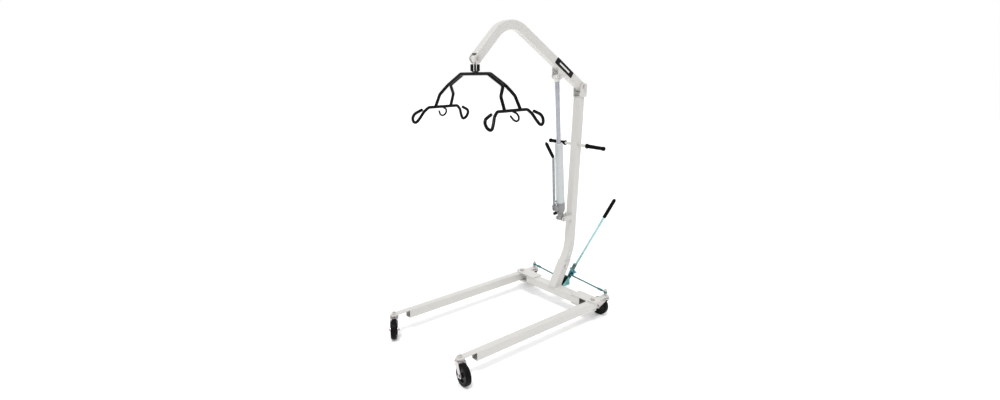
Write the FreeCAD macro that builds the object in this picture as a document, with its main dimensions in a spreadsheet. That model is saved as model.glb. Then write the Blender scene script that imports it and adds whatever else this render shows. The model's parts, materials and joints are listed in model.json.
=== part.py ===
import FreeCAD, Part
import math
import os
import re
import Sketcher
from FreeCAD import Placement, Rotation, Vector

# Patient lift hoist. +X is forward (the way the legs point), +Y the lift's left, +Z up.
# Heights are above the floor; x and y are from the centre of the crossbar, and every
# sub-part is finally moved back by origin_shift, so that the origin is under the middle.

SIZES = [
    ("origin_shift", -375.84, "from the crossbar to the middle of the lift's length"),
    ("leg_depth", 44.4, "leg tube, upright side"),
    ("leg_width", 40.0, "leg tube, flat side"),
    ("leg_wall", 2.0, "wall of the leg tube"),
    ("leg_corner", 5.0, "outer corner of the leg tube"),
    ("leg_bottom", 75.8, "underside of the leg tubes"),
    ("leg_front", 815.0, "front end of the leg tube"),
    ("leg_rear", -18.0, "rear end of the leg tube"),
    ("leg_spread", 280.0, "leg pivot, from the middle"),
    ("tongue_thick", 4.0, "flat tongue that carries a caster"),
    ("front_stem", 898.0, "front caster stem"),
    ("rear_stem", -108.0, "rear caster stem"),
    ("cross_width", 58.0, "crossbar, along x"),
    ("cross_depth", 45.0, "crossbar, upright"),
    ("cross_half", 208.5, "half the crossbar's length"),
    ("cross_bottom", 75.5, "underside of the crossbar"),
    ("plate_thick", 5.0, "pivot plates"),
    ("pivot_bolt", 6.0, "radius of the leg pivot bolts"),
    ("pivot_bush", 10.0, "radius of the pivot bushes"),
    ("running_fit", 0.05, "radial clearance of what turns"),
    ("wheel_radius", 50.8, "four inch wheels"),
    ("wheel_width", 28.7, "tread"),
    ("wheel_trail", 33.7, "axle behind the stem"),
    ("rim_radius", 37.0, "hub under the tyre"),
    ("race_radius", 22.0, "swivel raceway"),
    ("mast_width", 45.5, "mast tube, along x"),
    ("mast_depth", 43.7, "mast tube, along y"),
    ("mast_corner", 5.0, "outer corner of the mast tube"),
    ("mast_wall", 2.5, "wall of the mast tube"),
    ("mast_low", 166.5, "straight of the mast in its socket"),
    ("mast_bend", 230.0, "centreline radius of the mast's bend"),
    ("mast_turn", 26.04, "turn of the mast's bend"),
    ("mast_high", 805.6, "upper straight of the mast"),
    ("socket_outer", 51.5, "mast socket"),
    ("socket_wall", 2.9, "wall of the socket"),
    ("socket_lean", 28.5, "lean of the socket"),
    ("socket_top", 260.0, "lip of the socket"),
    ("boom_depth", 45.0, "boom tube, upright"),
    ("boom_width", 40.0, "boom tube, along y"),
    ("boom_corner", 5.0, "outer corner of the boom tube"),
    ("boom_wall", 2.0, "wall of the boom tube"),
    ("boom_tail", 28.0, "boom behind its pivot"),
    ("boom_low", 552.0, "first straight of the boom"),
    ("boom_bend", 137.5, "centreline radius of the boom's bend"),
    ("boom_turn", 77.88, "turn of the boom's bend"),
    ("boom_high", 182.5, "second straight of the boom"),
    ("boom_mouth", 13.0, "top and bottom walls stop this far before the bolt"),
    ("boom_pivot_x", -153.0, "boom pivot"),
    ("boom_pivot_z", 1241.5, "boom pivot"),
    ("boom_rise", 32.88, "angle of the boom's first straight"),
    ("ear_width", 50.0, "mast-top bracket, along x"),
    ("ear_thick", 4.5, "mast-top bracket ears"),
    ("ear_outer", 27.0, "outer face of the ears"),
    ("ear_top", 1260.0, "top of the ears"),
    ("ear_bottom", 1186.4, "foot of the ears"),
    ("bolt_radius", 5.0, "main bolts"),
    ("clevis_x", 33.0, "ram pin"),
    ("clevis_z", 1298.0, "ram pin"),
    ("pump_tilt", 4.606, "lean of the pump"),
    ("ram_radius", 12.0, "chrome ram"),
    ("ram_reach", 470.0, "ram pin to piston"),
    ("piston_radius", 19.8, "piston"),
    ("eye_radius", 14.0, "eye on the ram"),
    ("gland_top", 352.0, "ram pin to the top of the gland"),
    ("gland_long", 27.0, "length of the gland"),
    ("gland_radius", 22.5, "gland"),
    ("tube_low", 689.0, "ram pin to the foot of the pump tube"),
    ("tube_top_radius", 22.0, "pump tube at the gland"),
    ("tube_low_radius", 24.3, "pump tube at its foot"),
    ("tube_bore", 19.9, "bore of the pump tube"),
    ("base_low", 750.0, "ram pin to the underside of the pump base"),
    ("pump_length", 784.5, "ram pin to the lower pivot"),
    ("lug_radius", 11.0, "lower lug"),
    ("lug_half", 12.0, "half the lug's thickness"),
    ("bar_radius", 8.0, "push bar"),
    ("bar_height", 926.0, "push bar"),
    ("grip_radius", 11.0, "hand grips"),
    ("grip_inner", 78.0, "inner end of a grip"),
    ("grip_outer", 202.0, "outer end of a grip"),
    ("shifter_height", 139.0, "shifter pivot"),
    ("shifter_angle", 25.4, "rest angle of the shifter"),
    ("shifter_lean", 8.5, "rearward lean of the shifter tube"),
    ("rod_radius", 4.0, "tie rods"),
    ("front_bolt_x", 574.0, "bolt at the boom's front end"),
    ("front_bolt_z", 1393.0, "bolt at the boom's front end"),
    ("hub_radius", 22.0, "white collar of the cradle"),
    ("hub_top", 1368.0, "top of the collar"),
    ("hub_low", 1337.0, "underside of the collar"),
    ("cradle_rod", 7.6, "radius of the cradle rods"),
    ("hook_rod", 7.2, "radius of the hook bars"),
    ("small_rod", 4.6, "radius of the small hooks"),
    ("arm_height", 1325.0, "middle of the cradle arms"),
    ("bar_spread", 258.0, "hook bars, from the middle"),
    ("bar_level", 1168.0, "hook bars"),
    ("bar_half", 88.0, "half the hook bar's straight"),
    ("hook_splay", 22.0, "outward tilt of the hooks"),
    ("swivel_offset", 3.0, "cradle swivel, forward of the front bolt"),
    ("cradle_tilt", 0.0368, "rise of the cradle towards its left end"),
]

doc = FreeCAD.newDocument("PatientLift")
sheet = doc.addObject("Spreadsheet::Sheet", "Sizes")
for row, (alias, number, meaning) in enumerate(SIZES, start=1):
    sheet.set(f"A{row}", alias)
    sheet.set(f"B{row}", str(number))
    sheet.set(f"C{row}", meaning)
    sheet.setAlias(f"B{row}", alias)
doc.recompute()

parts = []


def formula(text):
    """The expression with each size's name pointed at its cell."""
    return re.sub(r"[a-z_]+", lambda word: "Sizes." + word.group(), str(text))


def value(text):
    """The number that an expression of sizes gives."""
    return float(sheet.evalExpression(formula(text)))


def bind(obj, **sizes):
    """Ties properties of an object to the sheet."""
    for name, text in sizes.items():
        obj.setExpression(name, formula(text))
    return obj


def point(x, y, z):
    return Vector(value(x), value(y), value(z))


def label(obj, name, placement=None):
    """Names a finished sub-part and moves it to the lift's own origin."""
    obj.Label = name
    shift = Placement(Vector(value("origin_shift"), 0, 0), Rotation())
    obj.Placement = shift * (placement or obj.Placement)
    parts.append(obj)
    return obj


def turned_to(direction, along=Vector(0, 0, 1)):
    return Rotation(along, direction)


def about_y(degrees):
    return Rotation(Vector(0, 1, 0), degrees)


def about_z(degrees):
    return Rotation(Vector(0, 0, 1), degrees)


# ---- primitives and booleans -------------------------------------------------


def box(size_x, size_y, size_z, centre, rotation=None):
    """A block about its centre; the sizes are expressions."""
    block = doc.addObject("Part::Box", "Block")
    bind(block, Length=size_x, Width=size_y, Height=size_z)
    half = Vector(value(size_x) / 2, value(size_y) / 2, value(size_z) / 2)
    turn = rotation or Rotation()
    block.Placement = Placement(centre - turn.multVec(half), turn)
    return block


def rod(radius, start, end):
    """A round bar from one point to another."""
    bar = doc.addObject("Part::Cylinder", "Rod")
    bind(bar, Radius=radius)
    bar.Height = (end - start).Length
    bar.Placement = Placement(start, turned_to(end - start))
    return bar


def cone(radius_start, radius_end, start, end):
    bar = doc.addObject("Part::Cone", "Cone")
    bind(bar, Radius1=radius_start, Radius2=radius_end)
    bar.Height = (end - start).Length
    bar.Placement = Placement(start, turned_to(end - start))
    return bar


def hexagon(flats, start, end):
    """A hexagonal head or nut, given across its flats."""
    nut = doc.addObject("Part::Prism", "Hexagon")
    nut.Polygon = 6
    bind(nut, Circumradius=f"( {flats} ) / 1.7320508")
    nut.Height = (end - start).Length
    nut.Placement = Placement(start, turned_to(end - start))
    return nut


def fuse(*shapes):
    joined = doc.addObject("Part::MultiFuse", "Fusion")
    joined.Shapes = list(shapes)
    return joined


def cut(base, *tools):
    removed = doc.addObject("Part::Cut", "Cut")
    removed.Base = base
    removed.Tool = tools[0] if len(tools) == 1 else fuse(*tools)
    return removed


def common(first, second):
    shared = doc.addObject("Part::Common", "Common")
    shared.Base = first
    shared.Tool = second
    return shared


def group(*solids):
    """Separate like pieces that share one node."""
    several = doc.addObject("Part::Compound", "Group")
    several.Links = list(solids)
    return several


def plate(corners, thickness, lift, placement=None):
    """A flat plate of a polygon in the XZ plane, its thickness along +Y from lift."""
    outline = doc.addObject("Part::Feature", "Outline")
    points = [point(x, lift, z) for x, z in corners]
    outline.Shape = Part.Face(Part.makePolygon(points + points[:1]))
    sheet_metal = doc.addObject("Part::Extrusion", "Plate")
    sheet_metal.Base = outline
    sheet_metal.DirMode = "Custom"
    sheet_metal.Dir = Vector(0, 1, 0)
    sheet_metal.Solid = True
    bind(sheet_metal, LengthFwd=thickness)
    if placement:
        sheet_metal.Placement = placement
    return sheet_metal


def bent_wire(points, radius):
    """Straight runs joined by tangent arcs."""
    edges = []
    here = points[0]
    for before, corner, after in zip(points, points[1:], points[2:]):
        back = (before - corner).normalize()
        ahead = (after - corner).normalize()
        half_turn = (math.pi - back.getAngle(ahead)) / 2
        room = 0.45 * min((before - corner).Length, (after - corner).Length)
        reach = min(radius * math.tan(half_turn), room)
        arc_radius = reach / math.tan(half_turn)
        centre = corner + (back + ahead).normalize() * (arc_radius / math.cos(half_turn))
        middle = centre + (corner - centre).normalize() * arc_radius
        start, end = corner + back * reach, corner + ahead * reach
        edges.append(Part.LineSegment(here, start).toShape())
        edges.append(Part.Arc(start, middle, end).toShape())
        here = end
    edges.append(Part.LineSegment(here, points[-1]).toShape())
    return Part.Wire(edges)


def bent_rod(radius, points, bend):
    """A round rod along a bent path, its ends rounded."""
    path = doc.addObject("Part::Feature", "Path")
    path.Shape = bent_wire(points, bend)
    section = doc.addObject("Part::Circle", "Section")
    bind(section, Radius=radius)
    section.Placement = Placement(points[0], turned_to(points[1] - points[0]))
    sweep = doc.addObject("Part::Sweep", "BentRod")
    sweep.Sections = [section]
    sweep.Spine = (path, [f"Edge{n}" for n in range(1, len(path.Shape.Edges) + 1)])
    sweep.Solid = True
    ends = []
    for end in (points[0], points[-1]):
        ball = doc.addObject("Part::Sphere", "RodEnd")
        bind(ball, Radius=radius)
        ball.Placement = Placement(end, Rotation())
        ends.append(ball)
    return fuse(sweep, *ends)


# ---- PartDesign bodies -------------------------------------------------------


def sketch_on(body, role, name):
    sketch = body.newObject("Sketcher::SketchObject", name)
    origin_plane = [item for item in body.Origin.OriginFeatures if item.Role == role][0]
    sketch.AttachmentSupport = (origin_plane, [""])
    sketch.MapMode = "FlatFace"
    return sketch


def dimension(sketch, constraint, name, text):
    sketch.renameConstraint(sketch.addConstraint(constraint), name)
    sketch.setExpression(f"Constraints.{name}", formula(text))


def rounded_rectangle(sketch, tag, width, depth, corner):
    """Four sides and four corner arcs about the sketch's origin, bound to the sheet."""
    x, y, r = value(width) / 2, value(depth) / 2, value(corner)
    sides = [
        ((-x + r, -y), (x - r, -y)),
        ((x, -y + r), (x, y - r)),
        ((x - r, y), (-x + r, y)),
        ((-x, y - r), (-x, -y + r)),
    ]
    centres = [(x - r, -y + r), (x - r, y - r), (-x + r, y - r), (-x + r, -y + r)]
    first = sketch.GeometryCount
    for turn, ((start, end), centre) in enumerate(zip(sides, centres), start=-1):
        sketch.addGeometry(Part.LineSegment(Vector(*start, 0), Vector(*end, 0)))
        circle = Part.Circle(Vector(*centre, 0), Vector(0, 0, 1), r)
        begin = math.radians(90 * turn)
        sketch.addGeometry(Part.ArcOfCircle(circle, begin, begin + math.pi / 2))
    for side in range(4):
        line, arc = first + 2 * side, first + 2 * side + 1
        following = first + (2 * side + 2) % 8
        direction = "Horizontal" if side % 2 == 0 else "Vertical"
        sketch.addConstraint(Sketcher.Constraint(direction, line))
        sketch.addConstraint(Sketcher.Constraint("Tangent", line, 2, arc, 1))
        sketch.addConstraint(Sketcher.Constraint("Tangent", arc, 2, following, 1))
        if side:
            sketch.addConstraint(Sketcher.Constraint("Equal", first + 1, arc))
    distances = [
        ("DistanceY", -y, f"-( {depth} ) / 2"),
        ("DistanceX", x, f"( {width} ) / 2"),
        ("DistanceY", y, f"( {depth} ) / 2"),
        ("DistanceX", -x, f"-( {width} ) / 2"),
    ]
    for side, (kind, number, text) in enumerate(distances):
        line = first + 2 * side
        dimension(sketch, Sketcher.Constraint(kind, line, 1, number), f"{tag}{side}", text)
    dimension(sketch, Sketcher.Constraint("Radius", first + 1, r), f"{tag}_corner", corner)


def tube_section(body, width, depth, corner, wall):
    """The hollow section of a square tube, on the body's XY plane."""
    section = sketch_on(body, "XY_Plane", "Section")
    rounded_rectangle(section, "outer", width, depth, corner)
    inside = [f"{width} - 2 * {wall}", f"{depth} - 2 * {wall}", f"{corner} - {wall}"]
    rounded_rectangle(section, "inner", *inside)
    return section


def straight_tube(name, width, depth, corner, wall, length, placement):
    """A square tube along its own +Z; width is along x and depth along y."""
    body = doc.addObject("PartDesign::Body", name)
    section = tube_section(body, width, depth, corner, wall)
    pad = body.newObject("PartDesign::Pad", "Tube")
    pad.Profile = section
    bind(pad, Length=length)
    section.Visibility = False
    body.Placement = placement
    return body


def bent_tube(name, section_sizes, low, bend, turn, high, placement):
    """A square tube along +Z that then bends towards its own +X."""
    body = doc.addObject("PartDesign::Body", name)
    section = tube_section(body, *section_sizes)
    path = sketch_on(body, "XZ_Plane", "Path")
    a, r, t, b = value(low), value(bend), math.radians(value(turn)), value(high)
    corner = Vector(r - r * math.cos(t), a + r * math.sin(t), 0)
    path.addGeometry(Part.LineSegment(Vector(0, 0, 0), Vector(0, a, 0)))
    circle = Part.Circle(Vector(r, a, 0), Vector(0, 0, 1), r)
    path.addGeometry(Part.ArcOfCircle(circle, math.pi - t, math.pi))
    tip = corner + Vector(math.sin(t) * b, math.cos(t) * b, 0)
    path.addGeometry(Part.LineSegment(corner, tip))
    for constraint in (
        Sketcher.Constraint("Coincident", 0, 1, -1, 1),
        Sketcher.Constraint("Vertical", 0),
        Sketcher.Constraint("Tangent", 0, 2, 1, 2),
        Sketcher.Constraint("Tangent", 1, 1, 2, 1),
    ):
        path.addConstraint(constraint)
    dimension(path, Sketcher.Constraint("Distance", 0, a), "low", low)
    dimension(path, Sketcher.Constraint("Radius", 1, r), "bend", bend)
    dimension(path, Sketcher.Constraint("Distance", 2, b), "high", high)
    angle = Sketcher.Constraint("Angle", 0, 2, 2, 1, math.pi - t)
    dimension(path, angle, "turn", f"180 - {turn}")
    doc.recompute()
    pipe = body.newObject("PartDesign::AdditivePipe", "Tube")
    pipe.Profile = section
    pipe.Spine = (path, ["Edge1", "Edge2", "Edge3"])
    body.Placement = placement
    return body


def turned(name, profile, placement=None):
    """A piece turned about its own Z axis from corners (radius, height)."""
    body = doc.addObject("PartDesign::Body", name)
    sketch = sketch_on(body, "XZ_Plane", "Profile")
    corners = [Vector(value(radius), value(height), 0) for radius, height in profile]
    count = len(corners)
    for n, corner in enumerate(corners):
        sketch.addGeometry(Part.LineSegment(corner, corners[(n + 1) % count]))
    for n in range(count):
        link = Sketcher.Constraint("Coincident", n, 2, (n + 1) % count, 1)
        sketch.addConstraint(link)
    for n, (radius, height) in enumerate(profile):
        across = Sketcher.Constraint("DistanceX", n, 1, corners[n].x)
        up = Sketcher.Constraint("DistanceY", n, 1, corners[n].y)
        dimension(sketch, across, f"radius{n}", radius)
        dimension(sketch, up, f"height{n}", height)
    turning = body.newObject("PartDesign::Revolution", "Turning")
    turning.Profile = sketch
    turning.ReferenceAxis = (sketch, ["V_Axis"])
    turning.Angle = 360
    body.Placement = placement or Placement()
    return body


# ---- base: crossbar, pivot plates, bolts and bushes --------------------------

cross_top = "cross_bottom + cross_depth"
along_y = Rotation(Vector(1, 0, 0), -90)
cross_start = point("0", "-cross_half", "cross_bottom + cross_depth / 2")
crossbar = straight_tube(
    "Crossbar", "cross_width", "cross_depth", "6", "3", "2 * cross_half",
    Placement(cross_start, along_y),
)
label(crossbar, "crossbar")


def pivot_plate(side, low, rear):
    """A plate from the crossbar's end out past the leg pivot, with a round end."""
    middle = f"( 29 + {rear} ) / 2"
    inner = 150
    length = f"leg_spread - {inner}"
    centre_y = side * (value("leg_spread") + inner) / 2
    centre = Vector(value(middle), centre_y, value(low) + value("plate_thick") / 2)
    slab = box(f"29 - {rear}", length, "plate_thick", centre)
    pivot = Vector(value(middle), side * value("leg_spread"), value(low))
    top = pivot + Vector(0, 0, value("plate_thick"))
    end = rod(f"( 29 - {rear} ) / 2", pivot, top)
    bolt_low = Vector(0, side * value("leg_spread"), value(low) - 1)
    hole = rod("pivot_bolt + running_fit", bolt_low, bolt_low + Vector(0, 0, 8))
    return cut(fuse(slab, end), hole)


for side, name in ((1, "left"), (-1, "right")):
    upper = pivot_plate(side, cross_top, "-41")
    lower = pivot_plate(side, "cross_bottom - plate_thick", "-20")
    label(group(upper, lower), f"pivot_plates_{name}")


def upright_bolt(x, y, low, high, radius, flats):
    """A bolt with its head above, a nut below and a washer under each."""
    shank = rod(radius, Vector(x, y, low - 9), Vector(x, y, high + 4))
    washers = rod(f"{flats} / 2 + 3", Vector(x, y, high), Vector(x, y, high + 2))
    lower_washer = rod(f"{flats} / 2 + 3", Vector(x, y, low - 2), Vector(x, y, low))
    head = hexagon(flats, Vector(x, y, high + 2), Vector(x, y, high + 10))
    cap = cone(f"{flats} / 2 - 1", f"{flats} / 2 - 4",
               Vector(x, y, high + 10), Vector(x, y, high + 12.5))
    nut = hexagon(flats, Vector(x, y, low - 11), Vector(x, y, low - 2))
    return fuse(shank, washers, lower_washer, head, cap, nut)


bolts = []
bushes = []
for side in (1, -1):
    y = side * value("leg_spread")
    plate_low = value("cross_bottom - plate_thick")
    plate_high = value(f"{cross_top} + plate_thick")
    bolts.append(upright_bolt(0, y, plate_low, plate_high, "pivot_bolt", "18"))
    sleeve_low = Vector(0, y, value("cross_bottom"))
    sleeve_high = Vector(0, y, value(cross_top))
    sleeve = rod("pivot_bush", sleeve_low, sleeve_high)
    bushes.append(cut(sleeve, rod("pivot_bolt + running_fit", sleeve_low, sleeve_high)))
label(group(*bolts), "leg_pivot_bolts")

# ---- legs --------------------------------------------------------------------

leg_top = "leg_bottom + leg_depth"


def leg(side, name):
    """A tube with a flat tongue at each end, drilled for its pivot and casters."""
    y = side * value("leg_spread")
    middle = value("leg_bottom + leg_depth / 2")
    start = Vector(value("leg_rear"), y, middle)
    along_x = Rotation(Vector(0, 1, 0), 90)
    tube = straight_tube(
        f"LegTube_{name}", "leg_depth", "leg_width", "leg_corner", "leg_wall",
        "leg_front - leg_rear", Placement(start, along_x),
    )
    tongue_middle = value(f"{leg_top} - tongue_thick / 2")
    pieces = [tube]
    for stem, inner in (("front_stem", "leg_front - 30"), ("rear_stem", "leg_rear + 30")):
        centre = Vector(value(f"( {stem} + {inner} ) / 2"), y, tongue_middle)
        length = abs(value(f"{stem} - ( {inner} )"))
        strip = box(length, "leg_width - 6", "tongue_thick", centre)
        low = Vector(value(stem), y, value(f"{leg_top} - tongue_thick"))
        high = Vector(value(stem), y, value(leg_top))
        pieces.append(strip)
        pieces.append(rod("leg_width / 2 - 1", low, high))
    drills = [rod("pivot_bush + running_fit", Vector(0, y, 60), Vector(0, y, 140))]
    for stem in ("front_stem", "rear_stem"):
        x = value(stem)
        drills.append(rod("6.05", Vector(x, y, 100), Vector(x, y, 140)))
    label(cut(fuse(*pieces), *drills), name)


leg(1, "leg_left")
leg(-1, "leg_right")


def leg_stud(side, name):
    """The stud above a rear caster that a tie rod turns on, with its nuts."""
    x, y, foot = value("rear_stem"), side * value("leg_spread"), 132.6
    collar = rod("9", Vector(x, y, foot), Vector(x, y, foot + 1.9))
    shank = rod("rod_radius + 1", Vector(x, y, foot), Vector(x, y, 158))
    washer = rod("9", Vector(x, y, 145.5), Vector(x, y, 147))
    nut = hexagon("13", Vector(x, y, 147), Vector(x, y, 155))
    label(fuse(collar, shank, washer, nut), name)


leg_stud(1, "leg_stud_left")
leg_stud(-1, "leg_stud_right")

# ---- casters -----------------------------------------------------------------

CASTERS = [
    ("front_left", "front_stem", 1, 81.0),
    ("front_right", "front_stem", -1, 54.6),
    ("rear_left", "rear_stem", 1, -84.0),
    ("rear_right", "rear_stem", -1, -81.0),
]


def caster_stem(name, place):
    """Stem, upper race and locknut: the half that stays with the leg."""
    race_top = value(f"{leg_top} - tongue_thick")
    axis = [Vector(0, 0, z) for z in (98.4, 101.6, race_top - 4, race_top, 120.2, 130, 132.4)]
    head = rod("9", axis[0], axis[1])
    shank = rod("6", axis[0], axis[6])
    race = cone("race_radius", "race_radius - 2", axis[2], axis[3])
    nut = hexagon("18", axis[4], axis[5])
    label(fuse(head, shank, race, nut), f"caster_stem_{name}", place)


def caster_fork(name, place):
    """Lower race, crown and two tapering legs."""
    trail, axle = value("wheel_trail"), value("wheel_radius")
    race = rod("race_radius", Vector(0, 0, 106), Vector(0, 0, 109.2))
    crown = rod("21", Vector(0, 0, 102.2), Vector(0, 0, 106))
    bridge = box("40", "41", "3.8", Vector(4, 0, 104.1))
    outline = [(-16, 106), (-16, 97), (trail - 13, axle - 3), (trail + 12, axle), (24, 97), (24, 106)]
    pieces = [race, crown, bridge]
    for inner in (17.5, -20.5):
        pieces.append(plate(outline, "3", inner))
        eye = Vector(trail, inner, axle)
        pieces.append(rod("13", eye, eye + Vector(0, 3, 0)))
    stem_hole = rod("6 + running_fit", Vector(0, 0, 95), Vector(0, 0, 115))
    axle_hole = rod("4.05", Vector(trail, -30, axle), Vector(trail, 30, axle))
    label(cut(fuse(*pieces), stem_hole, axle_hole), f"caster_fork_{name}", place)


def caster_axle(name, place):
    """The axle bolt with its head and nut."""
    trail, axle = value("wheel_trail"), value("wheel_radius")
    line = [Vector(trail, y, axle) for y in (-27.5, -20.6, 20.6, 26.5, 29)]
    shank = rod("4", line[0], line[4])
    head = hexagon("13", line[0], line[1])
    nut = hexagon("13", line[2], line[3])
    label(fuse(shank, head, nut), f"caster_axle_{name}", place)


def wheel(name, place):
    """A hub with a web and a rim, and the tyre on it; both turn about y."""
    spin = Placement(point("wheel_trail", "0", "wheel_radius"), Rotation(Vector(1, 0, 0), -90))
    half = "( wheel_width / 2 )"
    bore = "( 4 + running_fit )"
    hub = [
        (bore, "-17.2"), ("11", "-17.2"), ("12", "-6"), ("rim_radius - 5", "-5"),
        ("rim_radius - 4", f"1.5 - {half}"), ("rim_radius", f"1.5 - {half}"),
        ("rim_radius", f"{half} - 1.5"), ("rim_radius - 4", f"{half} - 1.5"),
        ("rim_radius - 5", "5"), ("12", "6"), ("11", "17.2"), (bore, "17.2"),
    ]
    tread = [
        ("rim_radius + 0.02", f"2.5 - {half}"), ("rim_radius + 5", f"0.5 - {half}"),
        ("wheel_radius - 5", f"-{half}"), ("wheel_radius - 2", f"1.2 - {half}"),
        ("wheel_radius - 0.5", f"4 - {half}"), ("wheel_radius", f"8 - {half}"),
        ("wheel_radius", f"{half} - 8"), ("wheel_radius - 0.5", f"{half} - 4"),
        ("wheel_radius - 2", f"{half} - 1.2"), ("wheel_radius - 5", half),
        ("rim_radius + 5", f"{half} - 0.5"), ("rim_radius + 0.02", f"{half} - 2.5"),
    ]
    label(turned(f"Hub_{name}", hub), f"caster_hub_{name}", place * spin)
    label(turned(f"Tyre_{name}", tread), f"caster_tyre_{name}", place * spin)


for corner_name, stem_x, side, facing in CASTERS:
    stem_place = Placement(point(stem_x, f"{side} * leg_spread", "0"), about_z(facing))
    caster_stem(corner_name, stem_place)
    caster_fork(corner_name, stem_place)
    caster_axle(corner_name, stem_place)
    wheel(corner_name, stem_place)

# ---- mast and its socket -----------------------------------------------------

mast_foot = Vector(-4.5, 0, 134)
lean = about_y(-value("socket_lean"))
socket_axis = lean.multVec(Vector(0, 0, 1))
socket_tube = straight_tube(
    "SocketTube", "socket_outer", "socket_outer", "6", "socket_wall", "260",
    Placement(mast_foot - socket_axis * 70, lean),
)
lip = box("300", "80", f"socket_top - ( {cross_top} )",
          Vector(0, 0, value(f"( socket_top + {cross_top} ) / 2")))
lip.Placement.Base.x = -190
label(common(socket_tube, lip), "mast_socket")

mast_tube = bent_tube(
    "MastTube", ("mast_width", "mast_depth", "mast_corner", "mast_wall"),
    "mast_low", "mast_bend", "mast_turn", "mast_high", Placement(mast_foot, lean),
)
upper_lean = value("mast_turn") - value("socket_lean")


def mast_centre(height):
    """The mast's centre line above its bend."""
    return Vector(-112.6 + math.tan(math.radians(upper_lean)) * (height - 400), 0, height)


bar_centre = mast_centre(value("bar_height"))
bar_reach = Vector(0, value("grip_outer") - 6, 0)
bar_hole = rod("bar_radius + 0.1", bar_centre - Vector(0, 40, 0), bar_centre + Vector(0, 40, 0))
label(cut(mast_tube, bar_hole), "mast")
label(rod("bar_radius", bar_centre - bar_reach, bar_centre + bar_reach), "push_bar")

grip_long = "( grip_outer - grip_inner )"
grip_profile = [
    ("bar_radius + 0.1", "0"), ("grip_radius + 3", "0"), ("grip_radius + 3", "5"),
    ("grip_radius", "8"), ("grip_radius - 1", f"{grip_long} - 20"),
    ("grip_radius + 1", f"{grip_long} - 8"), ("grip_radius", f"{grip_long} - 2"),
    ("grip_radius - 2", grip_long), ("2", f"{grip_long}"), ("2", f"{grip_long} - 5.5"),
    ("bar_radius + 0.1", f"{grip_long} - 5.5"),
]
grips = []
for side in (1, -1):
    inner_end = bar_centre + Vector(0, side * value("grip_inner"), 0)
    facing = Rotation(Vector(1, 0, 0), -90 * side)
    grips.append(turned("Grip", grip_profile, Placement(inner_end, facing)))
label(group(*grips), "push_grips")

# ---- mast-top bracket and the boom pivot ---------------------------------------

boom_pivot = point("boom_pivot_x", "0", "boom_pivot_z")
base_plate = box("ear_width", "2 * ear_outer", "5",
                 point("boom_pivot_x", "0", "ear_bottom + 2.5"))
ears = [base_plate]
for side in (1, -1):
    middle_y = side * value("ear_outer - ear_thick / 2")
    ear_high = "ear_top - 16 - ear_bottom"
    centre = Vector(boom_pivot.x, middle_y, value("( ear_bottom + ear_top - 16 ) / 2"))
    ears.append(box("ear_width", "ear_thick", ear_high, centre))
    crown_box = box("ear_width - 32", "ear_thick", "16",
                    Vector(boom_pivot.x, middle_y, value("ear_top - 8")))
    ears.append(crown_box)
    for offset in (-1, 1):
        corner_x = boom_pivot.x + offset * (value("ear_width") / 2 - 16)
        low = Vector(corner_x, middle_y - value("ear_thick") / 2, value("ear_top - 16"))
        ears.append(rod("16", low, low + Vector(0, value("ear_thick"), 0)))
pivot_drill = rod("bolt_radius + running_fit", boom_pivot - Vector(0, 40, 0),
                  boom_pivot + Vector(0, 40, 0))
label(cut(fuse(*ears), pivot_drill), "mast_bracket")


def cross_bolt(centre, half, radius, flats):
    """A bolt along y with head, nut and washers, clamping plates |y| = half."""
    line = [centre + Vector(0, y, 0) for y in
            (-half - 10, -half - 2, -half, half, half + 2, half + 9)]
    shank = rod(radius, line[0], line[5])
    washers = [rod(f"{flats} / 2 + 2", line[1], line[2]), rod(f"{flats} / 2 + 2", line[3], line[4])]
    head = hexagon(flats, line[4], line[5])
    nut = hexagon(flats, line[0], line[1])
    return fuse(shank, head, nut, *washers)


pivot_sleeve_half = value("ear_outer - ear_thick") - 0.05
sleeve_ends = [boom_pivot + Vector(0, side * pivot_sleeve_half, 0) for side in (-1, 1)]
boom_sleeve = cut(rod("9", *sleeve_ends), rod("bolt_radius + running_fit", *sleeve_ends))
label(group(*bushes, boom_sleeve), "pivot_bushes")

# ---- pump bracket on the mast, and every bolt through the mast ------------------

lower_pivot = Vector(-30, 0, 516)
mast_front = mast_centre(514) + Vector(value("mast_width") / 2, 0, 0)
upper_turn = about_y(upper_lean)
back_plate = box("4", "52", "47", mast_front + Vector(2.3, 0, 0), upper_turn)
ear_pieces = [back_plate]
for side in (1, -1):
    ear_y = side * 23
    span = lower_pivot.x - mast_front.x - 1
    ear_centre = Vector(lower_pivot.x - span / 2, ear_y, 516)
    ear_pieces.append(box(span, "6", "26", ear_centre))
    eye_start = Vector(lower_pivot.x, ear_y - 3, 516)
    ear_pieces.append(rod("13", eye_start, eye_start + Vector(0, 6, 0)))
pump_drill = rod("bolt_radius + running_fit", lower_pivot - Vector(0, 40, 0),
                 lower_pivot + Vector(0, 40, 0))
label(cut(fuse(*ear_pieces), pump_drill), "pump_bracket")

stubs = []
for side in (1, -1):
    line = [lower_pivot + Vector(0, side * y, 0) for y in (15.5, 19.9, 26.1, 33)]
    stubs.append(fuse(rod("7", line[0], line[1]), rod("bolt_radius", line[1], line[3]),
                      hexagon("16", line[2], line[3])))
socket_bolt_at = mast_foot + socket_axis * 108
stubs.append(cross_bolt(boom_pivot, value("ear_outer") + 0.05, "bolt_radius", "17"))
for side in (1, -1):
    head_start = socket_bolt_at + Vector(0, side * value("socket_outer") / 2, 0)
    head_end = head_start + Vector(0, side * 7, 0)
    stubs.append(hexagon("15", head_start, head_end))
label(group(*stubs), "mast_bolts")

# ---- boom ----------------------------------------------------------------------

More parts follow.
